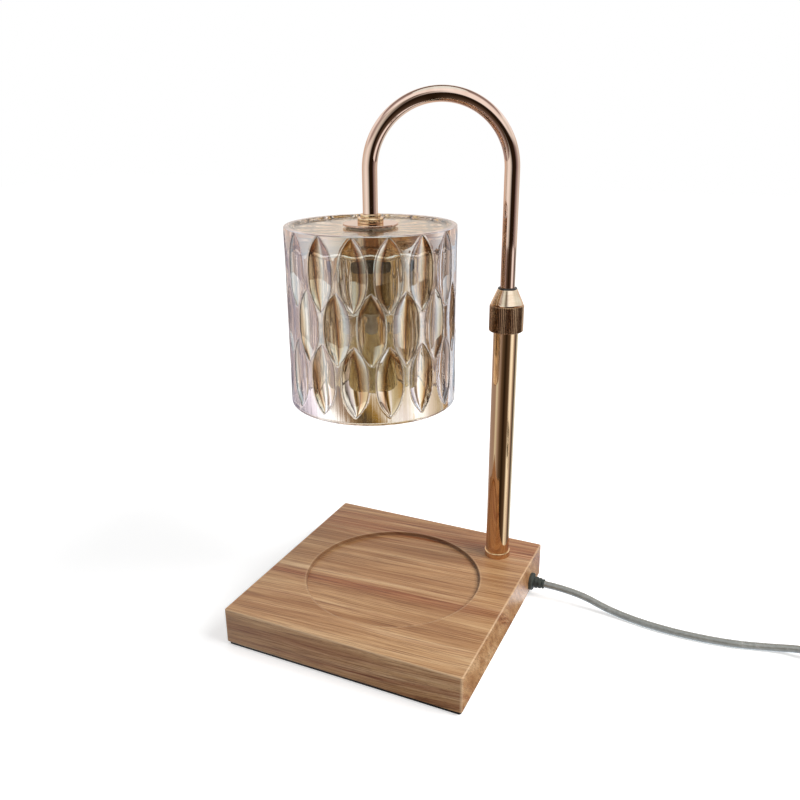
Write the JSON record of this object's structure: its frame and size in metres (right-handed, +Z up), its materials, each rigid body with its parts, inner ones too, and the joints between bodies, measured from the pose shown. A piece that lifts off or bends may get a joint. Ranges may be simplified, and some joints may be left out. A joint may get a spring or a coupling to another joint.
{
  "type": "candle warmer lamp",
  "caption": "Candle-warming lamp: a knurled lock nut holds a gooseneck that slides and turns in a pole on a wooden base, with a leaf-cut glass shade over a reflector bulb.",
  "frame": {"origin": "middle of the base, on the surface that the lamp stands on", "axes": "+X along the front edge to the right, +Y to the back, +Z up"},
  "size_m": [0.4528, 0.16, 0.3345],
  "materials": {
    "wood": "satin lacquer over light brown wood with reddish streaks",
    "black_foam": "dull black foam",
    "gold": "polished pale gold plating",
    "dark_gold": "polished dark rose gold plating",
    "rose_gold": "polished rose gold plating",
    "steel": "bright zinc plating",
    "black_plastic": "fine matt",
    "white_nylon": "smooth nylon",
    "clear_silicone": "clear silicone",
    "shade_glass": "clear pressed glass with a brown tint",
    "bulb_glass": "clear glass with a warm mirror coating",
    "white_ceramic": "glazed ceramic",
    "wire_core": "wire insulation",
    "lead_sleeve": "clear grey flexible sleeve",
    "grommet_rubber": "dark grey-green",
    "dimmer_plastic": "pale grey, half gloss",
    "circuit_green": "circuit board",
    "nickel": "nickel plating"
  },
  "bodies": {
    "base": {"base_board": "wood", "base_pad": "black_foam", "pole_foot_ring": "dark_gold", "pole_tube": "gold", "pole_plug": "steel", "pole_nipple": "steel", "base_washer": "steel", "base_nut": "steel", "collet": "white_nylon", "base_wire": "wire_core", "slack_wire": "wire_core", "cord_grommet": "grommet_rubber", "cord_lead": "lead_sleeve", "dimmer_bottom": "dimmer_plastic", "dimmer_top": "dimmer_plastic", "dimmer_screws": "steel", "dimmer_circuit": "circuit_green", "cord_run": "lead_sleeve", "cord_coil": "lead_sleeve", "plug_body": "dimmer_plastic", "plug_pins": "nickel"},
    "lock_nut": {"lock_nut": "dark_gold", "nut_lip_ring": "black_plastic"},
    "mast_slider": {"guide_bush": "white_nylon"},
    "arm": {"gooseneck_tube": "rose_gold", "tube_wire": "wire_core", "shade_nut": "gold", "shade_washer": "rose_gold", "top_gasket": "clear_silicone", "shade_glass": "shade_glass", "under_gasket": "clear_silicone", "under_washer": "rose_gold", "under_nut": "gold", "holder_cap": "black_plastic", "lampholder_body": "black_plastic", "lampholder_face": "white_ceramic", "holder_contacts": "nickel", "holder_screws": "steel"},
    "bulb": {"bulb_base": "white_ceramic", "bulb_pins": "nickel", "bulb_reflector": "bulb_glass", "bulb_lens": "bulb_glass", "bulb_capsule": "bulb_glass"},
    "dimmer_wheel": {"dimmer_wheel": "black_plastic"}
  },
  "joints": [
    {"name": "nut_turn", "type": "hinge", "parent": "base", "child": "lock_nut", "pos_m": [0.055, 0.055, 0.188], "axis": [0, 0, 1], "range_deg": [0, 180]},
    {"name": "mast_slide", "type": "slide", "parent": "base", "child": "mast_slider", "axis": [0, 0, 1], "range_m": [-0.05, 0.04], "deforming": ["slack_wire"]},
    {"name": "arm_turn", "type": "hinge", "parent": "mast_slider", "child": "arm", "pos_m": [0.055, 0.055, 0.2], "axis": [0, 0, 1], "range_deg": [-70, 110]},
    {"name": "bulb_lock", "type": "hinge", "parent": "arm", "child": "bulb", "pos_m": [-0.02259, 0.02029, 0.2015], "axis": [0, 0, 1], "range_deg": [-25, 0]},
    {"name": "dimmer_turn", "type": "hinge", "parent": "base", "child": "dimmer_wheel", "pos_m": [0.296, 0.056, 0.012], "axis": [0, 1, 0], "range_deg": [0, 270]}
  ]
}
